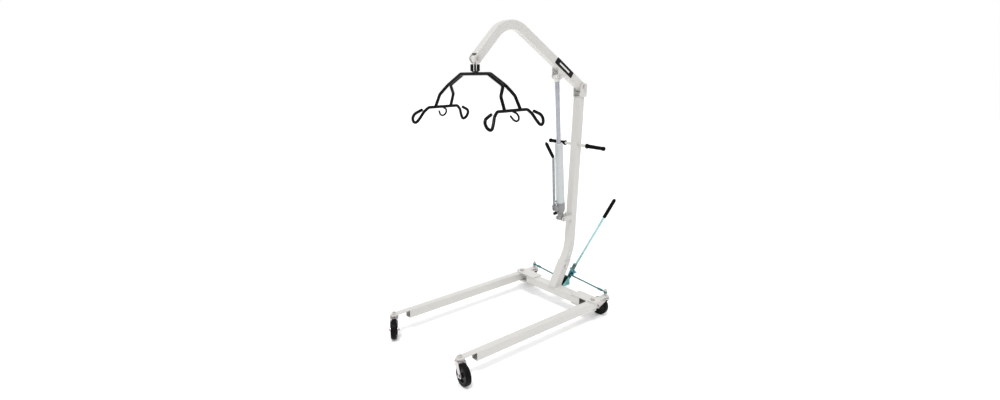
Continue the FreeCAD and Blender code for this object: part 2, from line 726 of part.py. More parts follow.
rise = value("boom_rise")
boom_turn = about_y(90 - rise)
boom_axis = boom_turn.multVec(Vector(0, 0, 1))
boom_tube = bent_tube(
    "BoomTube", ("boom_depth", "boom_width", "boom_corner", "boom_wall"),
    "boom_low", "boom_bend", "boom_turn", "boom_high",
    Placement(boom_pivot - boom_axis * value("boom_tail"), boom_turn),
)
front_bolt = point("front_bolt_x", "0", "front_bolt_z")
front_fall = rise - value("boom_turn")
front_turn = about_y(-front_fall)
front_axis = front_turn.multVec(Vector(1, 0, 0))
mouth_centre = front_bolt + front_axis * (40 - value("boom_mouth"))
mouth = box("80", "boom_width - 2 * boom_wall", "60", mouth_centre, front_turn)
cheek_block = box("40", "60", "60", front_bolt + front_axis * 20, front_turn)
cheek_round = rod("boom_depth / 2", front_bolt - Vector(0, 31, 0), front_bolt + Vector(0, 31, 0))
cheek_waste = cut(cheek_block, cheek_round)
front_drill = rod("bolt_radius + running_fit", front_bolt - Vector(0, 40, 0),
                  front_bolt + Vector(0, 40, 0))
boom_drill = rod("9 + running_fit", boom_pivot - Vector(0, 40, 0), boom_pivot + Vector(0, 40, 0))
label(cut(boom_tube, mouth, cheek_waste, front_drill, boom_drill), "boom")

ram_pin_at = point("clevis_x", "0", "clevis_z")
clevis_outline = [(-1, 1318.5), (-1, 1311), (24, 1288), (46, 1298), (46, 1348.5)]
clevis_plates = []
for inner in (20.02, -24.02):
    eye = ram_pin_at + Vector(0, inner, 0)
    side_plate = fuse(plate(clevis_outline, "4", inner), rod("13", eye, eye + Vector(0, 4, 0)))
    pin_hole = rod("7 + running_fit", eye - Vector(0, 2, 0), eye + Vector(0, 6, 0))
    clevis_plates.append(cut(side_plate, pin_hole))
label(group(*clevis_plates), "ram_clevis")
pin_line = [ram_pin_at + Vector(0, y, 0) for y in (-31, -24.1, 24.1, 29)]
ram_pin = fuse(rod("7", pin_line[0], pin_line[3]), hexagon("19", pin_line[2], pin_line[3]),
               hexagon("17", pin_line[0], pin_line[1]))
front_bolt_piece = cross_bolt(front_bolt, value("boom_width") / 2 + 0.05, "bolt_radius", "16")
label(group(ram_pin, front_bolt_piece), "boom_bolts")

# ---- pump: its own frame has the ram pin at the origin and the ram along -Z ------

pump_place = Placement(ram_pin_at, about_y(value("pump_tilt")))


def down(distance, x=0.0, y=0.0):
    return Vector(x, y, -distance)


ram = fuse(
    rod("ram_radius", down(12), down(value("ram_reach") + 5)),
    rod("piston_radius", down(value("ram_reach")), down(value("ram_reach") + 22)),
)
eye_hole = rod("7.4", Vector(0, -20, 0), Vector(0, 20, 0))
eye_band = rod("eye_radius + 0.05", Vector(0, -17.1, 0), Vector(0, 17.1, 0))
label(cut(ram, eye_band), "pump_ram", pump_place)
eye_body = rod("eye_radius", Vector(0, -17, 0), Vector(0, 17, 0))
eye_neck = cut(cone("15", "13.5", down(24), down(9)), rod("12.02", down(30), down(5)))
neck_trim = cut(eye_neck, rod("eye_radius - 1", Vector(0, -20, 0), Vector(0, 20, 0)))
eye_cut = rod("7 + running_fit", Vector(0, -20, 0), Vector(0, 20, 0))
label(cut(fuse(eye_body, neck_trim), eye_cut), "ram_eye", pump_place)

gland_profile = [
    ("ram_radius + running_fit", "-gland_top"), ("gland_radius - 3", "-gland_top"),
    ("gland_radius", "-gland_top - 3"), ("gland_radius", "-gland_top - gland_long + 0.02"),
    ("ram_radius + running_fit", "-gland_top - gland_long + 0.02"),
]
label(turned("Gland", gland_profile), "pump_gland", pump_place)
tube_profile = [
    ("tube_bore", "-gland_top - gland_long"), ("tube_top_radius", "-gland_top - gland_long"),
    ("tube_low_radius", "-tube_low + 0.02"), ("tube_bore", "-tube_low + 0.02"),
]
label(turned("PumpTube", tube_profile), "pump_tube", pump_place)

base_profile = [
    ("0", "-tube_low"), ("tube_low_radius + 1.5", "-tube_low"),
    ("tube_low_radius + 1.5", "-base_low + 26"), ("tube_low_radius - 2", "-base_low + 8"),
    ("lug_radius + 3", "-base_low"), ("0", "-base_low"),
]
casting = turned("BaseCasting", base_profile)
foot = value("pump_length")
lug = fuse(
    box("2 * lug_radius", "2 * lug_half", "40", down(foot - 19)),
    rod("lug_radius", down(foot, y=-value("lug_half")), down(foot, y=value("lug_half"))),
)
lever_pivot = Vector(51, 0, -702)
plunger_x = 33.5
head_block = box("36", "24", "26", Vector(30, 0, -716))
lever_ears = [box("13", "4", "30", lever_pivot + Vector(-3, side * 8, -6)) for side in (1, -1)]
lever_eyes = [
    rod("7", lever_pivot + Vector(0, 8 * side - 2, 0), lever_pivot + Vector(0, 8 * side + 2, 0))
    for side in (1, -1)
]
lever_slot = box("30", "12", "30", Vector(56, 0, -702))
valve_boss = rod("9", Vector(10, 0, -742), Vector(37, 0, -742))
plunger_bore = rod("6 + running_fit", Vector(plunger_x, 0, -727), Vector(plunger_x, 0, -690))
knob_bore = rod("4.05", Vector(16, 0, -742), Vector(38, 0, -742))
lever_bore = rod("4.05", lever_pivot - Vector(0, 20, 0), lever_pivot + Vector(0, 20, 0))
base_solid = fuse(casting, lug, head_block, valve_boss, *lever_ears, *lever_eyes)
foot_hollow = rod("5", down(foot, y=-20), down(foot, y=20))
label(cut(base_solid, lever_slot, plunger_bore, knob_bore, lever_bore, foot_hollow),
      "pump_base", pump_place)

knob_profile = [
    ("0", "0"), ("4", "0"), ("4", "20"), ("8.5", "20"), ("8.5", "34"), ("6.5", "37"), ("0", "37"),
]
knob_turn = Placement(Vector(17, 0, -742), about_y(90))
label(turned("ReleaseKnob", knob_profile), "release_knob", pump_place * knob_turn)
plunger_profile = [
    ("0", "-726"), ("6", "-726"), ("6", "-694"), ("7", "-694"), ("7", "-689"), ("0", "-689"),
]
label(turned("Plunger", plunger_profile), "pump_plunger",
      pump_place * Placement(Vector(plunger_x, 0, 0), Rotation()))


def strap(points, width, thickness, middle_y=0.0):
    """A flat bar through points of the XZ plane, round at every point."""
    pieces = []
    half = Vector(0, value(thickness) / 2, 0)
    for spot in points:
        centre = Vector(spot[0], middle_y, spot[1])
        pieces.append(rod(f"{width} / 2", centre - half, centre + half))
    for (x1, z1), (x2, z2) in zip(points, points[1:]):
        start, end = Vector(x1, middle_y, z1), Vector(x2, middle_y, z2)
        turn = turned_to(end - start)
        pieces.append(box(width, thickness, (end - start).Length, (start + end) / 2, turn))
    return fuse(*pieces)


lever_path = [(51, -702), (49.5, -655), (45, -428)]
lever_bar = strap(lever_path, "14", "6")
rocker = strap([(50, -672), (plunger_x, -674)], "9", "6")
lever_pin = rod("4", lever_pivot - Vector(0, 13, 0), lever_pivot + Vector(0, 13, 0))
label(fuse(lever_bar, rocker, lever_pin), "pump_lever", pump_place)
grip_start, grip_end = Vector(47, 0, -420), Vector(97, 0, -332)
grip_line = [grip_start + (grip_end - grip_start) * share for share in (0, 0.06, 0.9, 1)]
lever_grip = fuse(
    cone("8", "9", grip_line[0], grip_line[1]),
    rod("9", grip_line[1], grip_line[2]),
    cone("9", "5.5", grip_line[2], grip_line[3]),
)
label(cut(lever_grip, strap(lever_path, "14.2", "6.2")), "pump_lever_grip", pump_place)

# ---- leg spreader: bracket, lever and tie rods ------------------------------------

hinge = Vector(-108, 0, value("shifter_height"))
shelf = box("69.5", "44", "4", Vector(-63.85, 0, 106))
upright = box("4", "44", "50", Vector(-96.6, 0, 129))
webs = [
    plate([(-96, 106), (-96, 150), (-89, 150), (-31, 108), (-31, 106)], "3", inner)
    for inner in (19, -22)
]
hinge_hole = rod("5.05", hinge + Vector(-5, 0, 0), hinge + Vector(20, 0, 0))
label(cut(fuse(shelf, upright, *webs), hinge_hole), "shifter_bracket")
hinge_line = [hinge + Vector(x, 0, 0) for x in (20.7, 13.7, 9.1, -11.3, -13, -21)]
hinge_bolt = fuse(
    rod("5", hinge_line[0], hinge_line[5]), hexagon("16", hinge_line[1], hinge_line[0]),
    rod("9", hinge_line[2], hinge_line[2] - Vector(15.8, 0, 0)),
    rod("10", hinge_line[3], hinge_line[4]), hexagon("16", hinge_line[4], hinge_line[5]),
)
label(hinge_bolt, "shifter_pivot_bolt")

tilt = math.radians(value("shifter_angle"))
outward = Vector(0, math.sin(tilt), math.cos(tilt))
lean_back = Vector(-math.tan(math.radians(value("shifter_lean"))), 0, 0)
lever_x = Vector(-9, 0, 0)


def lever_point(distance):
    """A point of the leaning shifter tube, this far from the hinge."""
    return hinge + outward * distance + lean_back * distance + Vector(-4, 0, 0)


plate_start = hinge + lever_x - outward * 25
plate_end = hinge + lever_x + outward * 98
plate_turn = Rotation(Vector(1, 0, 0), -value("shifter_angle"))
lever_plate = fuse(
    box("4", "22", "123", (plate_start + plate_end) / 2, plate_turn),
    rod("11", plate_end - Vector(2, 0, 0), plate_end + Vector(2, 0, 0)),
    rod("11", plate_start - Vector(2, 0, 0), plate_start + Vector(2, 0, 0)),
    box("13", "30", "32", hinge + Vector(-17, 0, 0) + outward * 36, plate_turn),
    box("15", "46", "3", hinge + Vector(-18, 0, 0) + outward * 52, plate_turn),
)
lever_hole = rod("5.05", hinge + Vector(-20, 0, 0), hinge + Vector(20, 0, 0))
shifter_tube = rod("6.5", lever_point(50), lever_point(462))
label(fuse(cut(lever_plate, lever_hole), shifter_tube), "shifter_lever")
sleeve_from, sleeve_to = lever_point(440), lever_point(563)
sleeve_top = lever_point(555)
shifter_grip = cut(
    fuse(rod("10", sleeve_from, sleeve_top), cone("10", "6", sleeve_top, sleeve_to)),
    rod("6.55", sleeve_from - (sleeve_to - sleeve_from) * 0.1, lever_point(462.2)),
)
label(shifter_grip, "shifter_grip")


def tie_rod(side, inner_height, name):
    """A rod from the stud on a rear leg to a flat eye beside the shifter lever."""
    x = value("rear_stem")
    stud = Vector(x, side * value("leg_spread"), 140)
    inner = Vector(x, side * 14, inner_height)
    run = (inner - stud).normalize()
    bar = rod("rod_radius", stud + run * 10, inner - run * 7)
    sleeve = rod("rod_radius + 2.5", stud + run * 26, stud + run * 52)
    eye = rod("10", stud - Vector(0, 0, 5.2), stud + Vector(0, 0, 5.2))
    flat_eye = rod("9", inner - Vector(4.6, 0, 0), inner + Vector(3.6, 0, 0))
    eye_bolt = rod("4", inner - Vector(5.6, 0, 0), inner + Vector(4.8, 0, 0))
    joined = fuse(bar, sleeve, eye, flat_eye, eye_bolt)
    stud_hole = rod("rod_radius + 1 + 0.4", stud - Vector(0, 0, 8), stud + Vector(0, 0, 8))
    label(cut(joined, stud_hole), name)


tie_rod(1, 162.0, "tie_rod_left")
tie_rod(-1, 114.5, "tie_rod_right")

# ---- hanger, swivel pin and sling cradle --------------------------------------------

hanger_low = value("hub_top") + 9
pin_x = front_bolt.x + value("swivel_offset")
hanger_block = fuse(
    rod("15", front_bolt - Vector(0, 16, 0), front_bolt + Vector(0, 16, 0)),
    common(
        box("30", "32", front_bolt.z - hanger_low,
            Vector(front_bolt.x, 0, (front_bolt.z + hanger_low) / 2)),
        rod("18", Vector(front_bolt.x, 0, hanger_low), Vector(front_bolt.x, 0, front_bolt.z)),
    ),
)
hanger_hole = rod("bolt_radius + running_fit", front_bolt - Vector(0, 20, 0),
                  front_bolt + Vector(0, 20, 0))
pin_bore = rod("5.05", Vector(pin_x, 0, hanger_low - 1), Vector(pin_x, 0, front_bolt.z - 7.9))
label(cut(hanger_block, hanger_hole, pin_bore), "hanger")
swivel_pin = fuse(
    rod("5", Vector(pin_x, 0, 1352), Vector(pin_x, 0, front_bolt.z - 8)),
    rod("7", Vector(pin_x, 0, 1352), Vector(pin_x, 0, hanger_low - 0.02)),
    rod("10.5", Vector(pin_x, 0, value("hub_top") + 0.3), Vector(pin_x, 0, hanger_low - 0.02)),
    rod("11.5", Vector(pin_x, 0, 1352), Vector(pin_x, 0, 1359.7)),
)
label(swivel_pin, "swivel_pin")

hub_profile = [
    ("0", "arm_height + cradle_rod + 0.7"), ("hub_radius - 6", "arm_height + cradle_rod + 0.7"),
    ("hub_radius - 6", "hub_low"), ("hub_radius - 1.5", "hub_low"), ("hub_radius", "hub_low + 1.5"),
    ("hub_radius", "hub_top - 2"), ("hub_radius - 2", "hub_top"), ("7 + running_fit", "hub_top"),
    ("7 + running_fit", "1360"), ("13", "1360"), ("13", "1350"), ("0", "1350"),
]
label(turned("CradleHub", hub_profile, Placement(Vector(pin_x, 0, 0), Rotation())), "cradle_hub")


def tilt_rise(y):
    """The cradle hangs slightly higher on its left."""
    return value("cradle_tilt") * y


def cradle_arm(side):
    """One rod over the whole cradle: along the top, down both slopes, out to the bars."""
    near, far = side * (value("cradle_rod") + 0.05), side * 46
    level, spread = value("arm_height"), value("bar_spread")
    end_z = value("bar_level") + 2
    half = [(near, 100, level), (near, 204, 1273), (side * 41, 227, 1229), (far, spread, end_z)]
    across = [Vector(pin_x + x, -y, z - tilt_rise(y)) for x, y, z in reversed(half)]
    across += [Vector(pin_x + x, y, z + tilt_rise(y)) for x, y, z in half]
    return bent_rod("cradle_rod - 0.02", across, 34)


arms = group(cradle_arm(1), cradle_arm(-1))

# The end of a hook bar, as distances outwards along the bar and down the splayed plane.
BIG_HOOK = [(22, 22), (36, 50), (50, 73), (62, 78), (76, 68), (82, 46), (73, 28), (38, 11)]
SMALL_HOOK = [(1, 4), (-20, 15), (-27, 30), (-21, 45), (-6, 51), (9, 42), (19, 25)]


def splayed(side, along, fall):
    """A point in the tilted plane of one hook bar."""
    splay = math.radians(value("hook_splay"))
    y = side * (value("bar_spread") + fall * math.sin(splay))
    level = value("bar_level") + tilt_rise(y)
    return Vector(pin_x + along, y, level - fall * math.cos(splay))


def hook_bar(side):
    """The lower bar with a big hook bent at each end and a small one at its middle."""
    half = value("bar_half")
    ends = [(half, 0)] + [(half + out, fall) for out, fall in BIG_HOOK]
    line = [splayed(side, -out, fall) for out, fall in reversed(ends)]
    line += [splayed(side, out, fall) for out, fall in ends]
    small = [splayed(side, out, fall) for out, fall in SMALL_HOOK]
    return fuse(bent_rod("hook_rod", line, 22), bent_rod("small_rod", small, 12))


label(cut(arms, hook_bar(1), hook_bar(-1)), "cradle_arms")
label(hook_bar(1), "cradle_bar_left")
label(hook_bar(-1), "cradle_bar_right")

# ---- check every object, then write each sub-part ----------------------------------

doc.recompute()
for obj in doc.Objects:
    if "Invalid" in obj.State or "Error" in obj.State:
        raise RuntimeError(f"{obj.Name} ({obj.Label}) did not build: {obj.State}")
for piece in parts:
    if piece.Shape.isNull() or not piece.Shape.isValid() or not piece.Shape.Solids:
        raise RuntimeError(f"{piece.Label} has no valid solid")

os.makedirs("parts", exist_ok=True)
for piece in parts:
    piece.Shape.exportStep(f"parts/{piece.Label}.step")
print(len(parts), "sub-parts written")
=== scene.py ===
import json
import math

import bmesh
import bpy
from mathutils import Matrix, Vector


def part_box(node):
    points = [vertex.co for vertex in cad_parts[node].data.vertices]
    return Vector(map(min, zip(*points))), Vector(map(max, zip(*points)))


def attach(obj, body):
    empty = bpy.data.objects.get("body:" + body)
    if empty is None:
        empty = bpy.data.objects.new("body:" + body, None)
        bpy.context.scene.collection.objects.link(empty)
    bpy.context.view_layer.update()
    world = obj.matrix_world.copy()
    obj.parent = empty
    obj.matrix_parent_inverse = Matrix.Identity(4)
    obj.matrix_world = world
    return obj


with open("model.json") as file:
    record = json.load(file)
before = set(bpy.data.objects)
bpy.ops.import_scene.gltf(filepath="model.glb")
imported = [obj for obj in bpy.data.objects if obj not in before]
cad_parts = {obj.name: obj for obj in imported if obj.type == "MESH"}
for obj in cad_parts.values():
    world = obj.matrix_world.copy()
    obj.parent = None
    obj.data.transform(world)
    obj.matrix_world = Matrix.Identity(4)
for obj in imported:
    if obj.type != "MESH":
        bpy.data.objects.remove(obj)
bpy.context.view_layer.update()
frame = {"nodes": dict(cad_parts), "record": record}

# The record's origin is under the middle of the lift; the crossbar's centre is this far behind it.
CROSSBAR = Vector((-0.37584, 0.0, 0.0))


def at(x, y, z):
    """A point given in millimetres from the crossbar's centre on the floor."""
    return CROSSBAR + Vector((x, y, z)) / 1000


# ---- materials ---------------------------------------------------------------


class Nodes:
    """Builds one node material, a line per node."""

    def __init__(self, name):
        self.material = bpy.data.materials.new(name)
        self.material.use_nodes = True
        self.tree = self.material.node_tree
        self.shader = self.tree.nodes["Principled BSDF"]
        self.place = self.add("ShaderNodeTexCoord").outputs["Object"]

    def add(self, kind, **settings):
        node = self.tree.nodes.new(kind)
        for key, setting in settings.items():
            if key in node.inputs:
                node.inputs[key].default_value = setting
            else:
                setattr(node, key, setting)
        return node

    def join(self, output, socket):
        self.tree.links.new(output, socket)

    def noise(self, scale, detail=4.0, roughness=0.5):
        """Noise over the object, in cells per metre."""
        texture = self.add("ShaderNodeTexNoise")
        texture.inputs["Scale"].default_value = scale
        texture.inputs["Detail"].default_value = detail
        texture.inputs["Roughness"].default_value = roughness
        self.join(self.place, texture.inputs["Vector"])
        return texture.outputs["Fac"]

    def ramp(self, value, low, high, from_low=0.35, from_high=0.65):
        """Maps a value to low..high."""
        mapper = self.add("ShaderNodeMapRange")
        mapper.inputs["From Min"].default_value = from_low
        mapper.inputs["From Max"].default_value = from_high
        mapper.inputs["To Min"].default_value = low
        mapper.inputs["To Max"].default_value = high
        self.join(value, mapper.inputs["Value"])
        return mapper.outputs["Result"]

    def mix(self, factor, first, second):
        """Mixes two colours, each a socket or a colour."""
        mixer = self.add("ShaderNodeMix", data_type="RGBA")
        self.join(factor, mixer.inputs["Factor"])
        for colour, socket in ((first, mixer.inputs["A"]), (second, mixer.inputs["B"])):
            if isinstance(colour, tuple):
                socket.default_value = (*colour, 1.0)
            else:
                self.join(colour, socket)
        return mixer.outputs["Result"]

    def times(self, first, second):
        product = self.add("ShaderNodeMath", operation="MULTIPLY")
        self.join(first, product.inputs[0])
        self.join(second, product.inputs[1])
        return product.outputs["Value"]

    def worn_edges(self, radius, low=0.02, high=0.25):
        """Where the rounded normal leaves the flat one: edges and corners."""
        bevel = self.add("ShaderNodeBevel", samples=4)
        bevel.inputs["Radius"].default_value = radius
        geometry = self.add("ShaderNodeNewGeometry")
        dot = self.add("ShaderNodeVectorMath", operation="DOT_PRODUCT")
        self.join(bevel.outputs["Normal"], dot.inputs[0])
        self.join(geometry.outputs["Normal"], dot.inputs[1])
        away = self.add("ShaderNodeMath", operation="SUBTRACT")
        away.inputs[0].default_value = 1.0
        self.join(dot.outputs["Value"], away.inputs[1])
        return self.ramp(away.outputs["Value"], 0.0, 1.0, low, high)

    def bump(self, height, distance, strength=1.0, under=None):
        node = self.add("ShaderNodeBump")
        node.inputs["Distance"].default_value = distance
        node.inputs["Strength"].default_value = strength
        self.join(height, node.inputs["Height"])
        if under:
            self.join(under, node.inputs["Normal"])
        return node.outputs["Normal"]

    def finish(self, **sockets):
        for name, setting in sockets.items():
            socket = self.shader.inputs[name.replace("_", " ")]
            if isinstance(setting, bpy.types.NodeSocket):
                self.join(setting, socket)
            else:
                socket.default_value = setting
        return self.material


def paint(
    name, colour, shade, roughness, coat=0.25, peel=0.000012, chip=(0.35, 0.34, 0.33), shine=0.5
):
    """Powder coat: slight colour drift, orange peel, faint dust and rubbed edges."""
    n = Nodes(name)
    tone = n.mix(n.ramp(n.noise(3.5, 6.0), 0.0, 1.0), colour, shade)
    specks = n.ramp(n.noise(260.0, 2.0), 0.0, 0.35, 0.66, 0.74)
    dusty = n.mix(specks, tone, tuple(0.72 * c for c in colour))
    patches = n.ramp(n.noise(45.0, 5.0, 0.7), 0.0, 1.0, 0.56, 0.66)
    rubbed = n.times(n.worn_edges(0.0016), patches)
    surface = n.mix(rubbed, dusty, chip)
    gloss = n.ramp(n.noise(14.0, 5.0), roughness - 0.06, roughness + 0.08)
    peeled = n.bump(n.noise(900.0, 2.0), peel)
    shaped = n.bump(n.noise(7.0, 1.0), 0.0005, 0.15, peeled)
    return n.finish(
        Base_Color=surface, Roughness=gloss, Normal=shaped, Coat_Weight=coat, Coat_Roughness=0.16,
        Specular_IOR_Level=shine,
    )


def plated(name, colour, tint, roughness, scratch=0.00003, spread=0.1):
    """Plated steel: cloudy tint, fine scratches and dull patches."""
    n = Nodes(name)
    cloud = n.mix(n.ramp(n.noise(38.0, 5.0, 0.6), 0.0, 1.0), colour, tint)
    stain = n.ramp(n.noise(120.0, 4.0, 0.7), 0.0, 0.6, 0.6, 0.72)
    surface = n.mix(stain, cloud, tuple(0.6 * c for c in colour))
    gloss = n.ramp(n.noise(85.0, 4.0), roughness - spread / 2, roughness + spread)
    lines = n.bump(n.noise(700.0, 3.0, 0.6), scratch)
    return n.finish(Base_Color=surface, Metallic=1.0, Roughness=gloss, Normal=lines)


# Heights on the shifter lever, in metres, between which one zinc tint gives way to the next.
PLATE_BLEND = (0.188, 0.2)
TUBE_BLEND = (0.229, 0.235)


def lever_zinc():
    """Blue-passivated zinc: a pale tube above, a greyer plate end and a bluer plate below it. The
    tube's pale tone is partly painted highlight, lightened to stand for its sheen.
    """
    n = Nodes("lever_zinc")
    axes = n.add("ShaderNodeSeparateXYZ")
    n.join(n.place, axes.inputs["Vector"])
    height = axes.outputs["Z"]
    plate = n.mix(n.ramp(height, 0.0, 1.0, *PLATE_BLEND), (0.05, 0.24, 0.34), (0.13, 0.17, 0.17))
    # The pale tube tone is partly painted highlight: the zinc is lightened for the sheen along the
    # tube.
    tone = n.mix(n.ramp(height, 0.0, 1.0, *TUBE_BLEND), plate, (0.44, 0.66, 0.65))
    cloud = n.ramp(n.noise(38.0, 5.0, 0.6), 0.0, 0.5)
    clouded = n.mix(cloud, tone, (0.2, 0.42, 0.44))
    gloss = n.ramp(n.noise(85.0, 4.0), 0.18, 0.32)
    lines = n.bump(n.noise(700.0, 3.0, 0.6), 0.00003)
    return n.finish(Base_Color=clouded, Metallic=1.0, Roughness=gloss, Normal=lines)


def moulded(name, colour, shade, roughness, grain, depth, coat=0.0, shine=0.5):
    """Moulded plastic or rubber: fine grain, scuffs and a duller bloom in patches."""
    n = Nodes(name)
    tone = n.mix(n.ramp(n.noise(22.0, 5.0, 0.6), 0.0, 1.0), colour, shade)
    scuff = n.times(n.worn_edges(0.0012), n.ramp(n.noise(60.0, 5.0, 0.7), 0.0, 0.8, 0.5, 0.62))
    surface = n.mix(scuff, tone, tuple(min(1.0, 2.2 * c + 0.01) for c in colour))
    gloss = n.ramp(n.noise(30.0, 5.0), roughness - 0.07, roughness + 0.1)
    grained = n.bump(n.noise(grain, 3.0), depth)
    return n.finish(
        Base_Color=surface, Roughness=gloss, Normal=grained, Coat_Weight=coat, Coat_Roughness=0.2,
        Specular_IOR_Level=shine,
    )


# Blender's band texture repeats every 0.314 / scale.
BAND_LENGTH = 0.314


def ribbed_rubber(name, pitch, axis):
    """Hand grip rubber with rings moulded round it along one axis."""
    n = Nodes(name)
    tone = n.mix(n.ramp(n.noise(30.0, 4.0), 0.0, 1.0), (0.002, 0.002, 0.0024), (0.005, 0.005, 0.0055))
    rings = n.add("ShaderNodeTexWave", wave_type="BANDS", bands_direction=axis)
    rings.inputs["Scale"].default_value = BAND_LENGTH / pitch
    n.join(n.place, rings.inputs["Vector"])
    ring_bump = n.bump(rings.outputs["Fac"], 0.0009)
    grained = n.bump(n.noise(1600.0, 2.0), 0.00006, 1.0, ring_bump)
    gloss = n.ramp(n.noise(40.0, 4.0), 0.5, 0.66)
    return n.finish(Base_Color=tone, Roughness=gloss, Normal=grained, Specular_IOR_Level=0.04)


LOOKS = {
    "frame_paint": paint("frame_paint", (0.615, 0.602, 0.575), (0.585, 0.572, 0.545), 0.36),
    "pump_paint": paint("pump_paint", (0.54, 0.565, 0.57), (0.50, 0.525, 0.53), 0.3),
    "base_paint": paint("base_paint", (0.27, 0.27, 0.268), (0.23, 0.23, 0.23), 0.42),
    "black_paint": paint(
        "black_paint", (0.0015, 0.0015, 0.0018), (0.003, 0.003, 0.0034), 0.13,
        coat=0.0, peel=0.000004, chip=(0.05, 0.048, 0.045), shine=0.1,
    ),
    "chrome": plated(
        "chrome", (0.40, 0.41, 0.44), (0.33, 0.34, 0.38), 0.09, scratch=0.000006, spread=0.05
    ),
    "zinc": plated("zinc", (0.66, 0.625, 0.605), (0.60, 0.56, 0.57), 0.3),
    "blue_zinc": plated("blue_zinc", (0.24, 0.47, 0.48), (0.10, 0.31, 0.34), 0.26),
    "dark_steel": plated("dark_steel", (0.09, 0.09, 0.09), (0.055, 0.055, 0.058), 0.42),
    "grip_rubber": moulded(
        "grip_rubber", (0.003, 0.003, 0.0034), (0.006, 0.006, 0.0064), 0.5,
        grain=1500.0, depth=0.00008, shine=0.05,
    ),
    "tyre_rubber": moulded(
        "tyre_rubber", (0.003, 0.003, 0.003), (0.006, 0.0058, 0.0056), 0.4,
        grain=700.0, depth=0.00008, shine=0.07,
    ),
    "hub_plastic": moulded(
        "hub_plastic", (0.006, 0.006, 0.0064), (0.012, 0.012, 0.0125), 0.36,
        grain=900.0, depth=0.00004, shine=0.2,
    ),
    "white_plastic": moulded(
        "white_plastic", (0.70, 0.695, 0.665), (0.64, 0.635, 0.605), 0.3,
        grain=500.0, depth=0.00003, coat=0.3,
    ),
}

slots = {part["node"]: part["material_slot"] for part in frame["record"]["subparts"]}
for node, piece in frame["nodes"].items():
    for holder in piece.material_slots:
        holder.material = LOOKS[slots[node]]

# These pieces look different from the rest of their slot.
OWN_LOOKS = {
    "shifter_lever": lever_zinc(),
    "shifter_bracket": plated("bracket_zinc", (0.20, 0.42, 0.38), (0.07, 0.24, 0.22), 0.28),
    "push_grips": ribbed_rubber("handle_rubber", pitch=0.0045, axis="Y"),
    "pump_lever": plated("lever_steel", (0.33, 0.35, 0.37), (0.24, 0.26, 0.285), 0.3),
    "tie_rod_left": plated("rod_zinc", (0.10, 0.27, 0.27), (0.045, 0.17, 0.18), 0.3),
}
OWN_LOOKS["tie_rod_right"] = OWN_LOOKS["tie_rod_left"]
for node, own_look in OWN_LOOKS.items():
    for holder in frame["nodes"][node].material_slots:
        holder.material = own_look

# ---- small pieces that ride on the frame --------------------------------------


def piece_from(name, mesh_maker, look, body):
    """Makes a named mesh piece from a bmesh function and lets it ride on a body."""
    mesh = bpy.data.meshes.new(name)
    shape = bmesh.new()
    mesh_maker(shape)
    bmesh.ops.recalc_face_normals(shape, faces=shape.faces)
    shape.to_mesh(mesh)
    shape.free()
    for face in mesh.polygons:
        face.use_smooth = True
    piece = bpy.data.objects.new(name, mesh)
    bpy.context.scene.collection.objects.link(piece)
    mesh.materials.append(LOOKS[look] if isinstance(look, str) else look)
    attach(piece, body)
    return piece


TUBE_SIDES = 8
LUMPINESS = 0.22
LUMP_TURN = 2.4
END_TAPER = 0.5


def bead_along(points, radius):
    """A lumpy tube through a row of points: a weld bead."""

    def make(shape):
        rings = []
        for n, spot in enumerate(points):
            before = points[max(n - 1, 0)]
            after = points[min(n + 1, len(points) - 1)]
            along = (after - before).normalized()
            side = along.orthogonal().normalized()
            up = along.cross(side)
            taper = END_TAPER if n in (0, len(points) - 1) else 1
            size = radius * (1.0 + LUMPINESS * math.sin(n * LUMP_TURN)) * taper
            ring = []
            for k in range(TUBE_SIDES):
                turn = 2 * math.pi * k / TUBE_SIDES
                offset = side * math.cos(turn) * size + up * math.sin(turn) * size
                ring.append(shape.verts.new(spot + offset))
            rings.append(ring)
        for first, second in zip(rings, rings[1:]):
            for k in range(TUBE_SIDES):
                m = (k + 1) % TUBE_SIDES
                shape.faces.new((first[k], first[m], second[m], second[k]))
        shape.faces.new(rings[0][::-1])
        shape.faces.new(rings[-1])

    return make


def spaced(start, end, step=0.0022):
    """Evenly spaced points from start to end, about a step apart."""
    count = max(3, int((end - start).length / step))
    return [start.lerp(end, n / count) for n in range(count + 1)]


BALL_COUNT = 14
BALL_RADIUS = 0.0027
RACE_RADIUS = 0.0188
RACE_HEIGHT = 0.1107


def race_balls(centre):
    """The balls that show in the gap of a swivel race."""

    def make(shape):
        for n in range(BALL_COUNT):
            turn = 2 * math.pi * n / BALL_COUNT
            spot = centre + Vector((math.cos(turn), math.sin(turn), 0)) * RACE_RADIUS
            place = Matrix.Translation(spot)
            bmesh.ops.create_icosphere(shape, subdivisions=2, radius=BALL_RADIUS, matrix=place)

    return make


for corner in ("front_left", "front_right", "rear_left", "rear_right"):
    low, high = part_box(f"caster_stem_{corner}")
    middle = (Vector(low) + Vector(high)) / 2
    centre = Vector((middle.x, middle.y, RACE_HEIGHT))
    leg_body = "leg_left" if corner.endswith("left") else "leg_right"
    piece_from(f"race_balls_{corner}", race_balls(centre), "chrome", leg_body)

# Weld beads where plates and socket meet the crossbar, in millimetres from its centre.
bar_top = 121
plate_half_depth = 28
plate_inner_y = 149.6
side_weld_x = 29
side_weld_height = 120.2
side_weld_inner_y, side_weld_outer_y = 152, 207
for side, hand in ((1, "left"), (-1, "right")):
    edge_y = side * plate_inner_y
    bead = spaced(at(-plate_half_depth, edge_y, bar_top), at(plate_half_depth, edge_y, bar_top))
    piece_from(f"weld_plate_{hand}", bead_along(bead, radius=0.0019), "frame_paint", "base")
    for x, end in ((side_weld_x, "front"), (-side_weld_x, "rear")):
        side_bead = spaced(
            at(x, side * side_weld_inner_y, side_weld_height),
            at(x, side * side_weld_outer_y, side_weld_height),
        )
        name = f"weld_{end}_{hand}"
        piece_from(name, bead_along(side_bead, radius=0.0016), "frame_paint", "base")

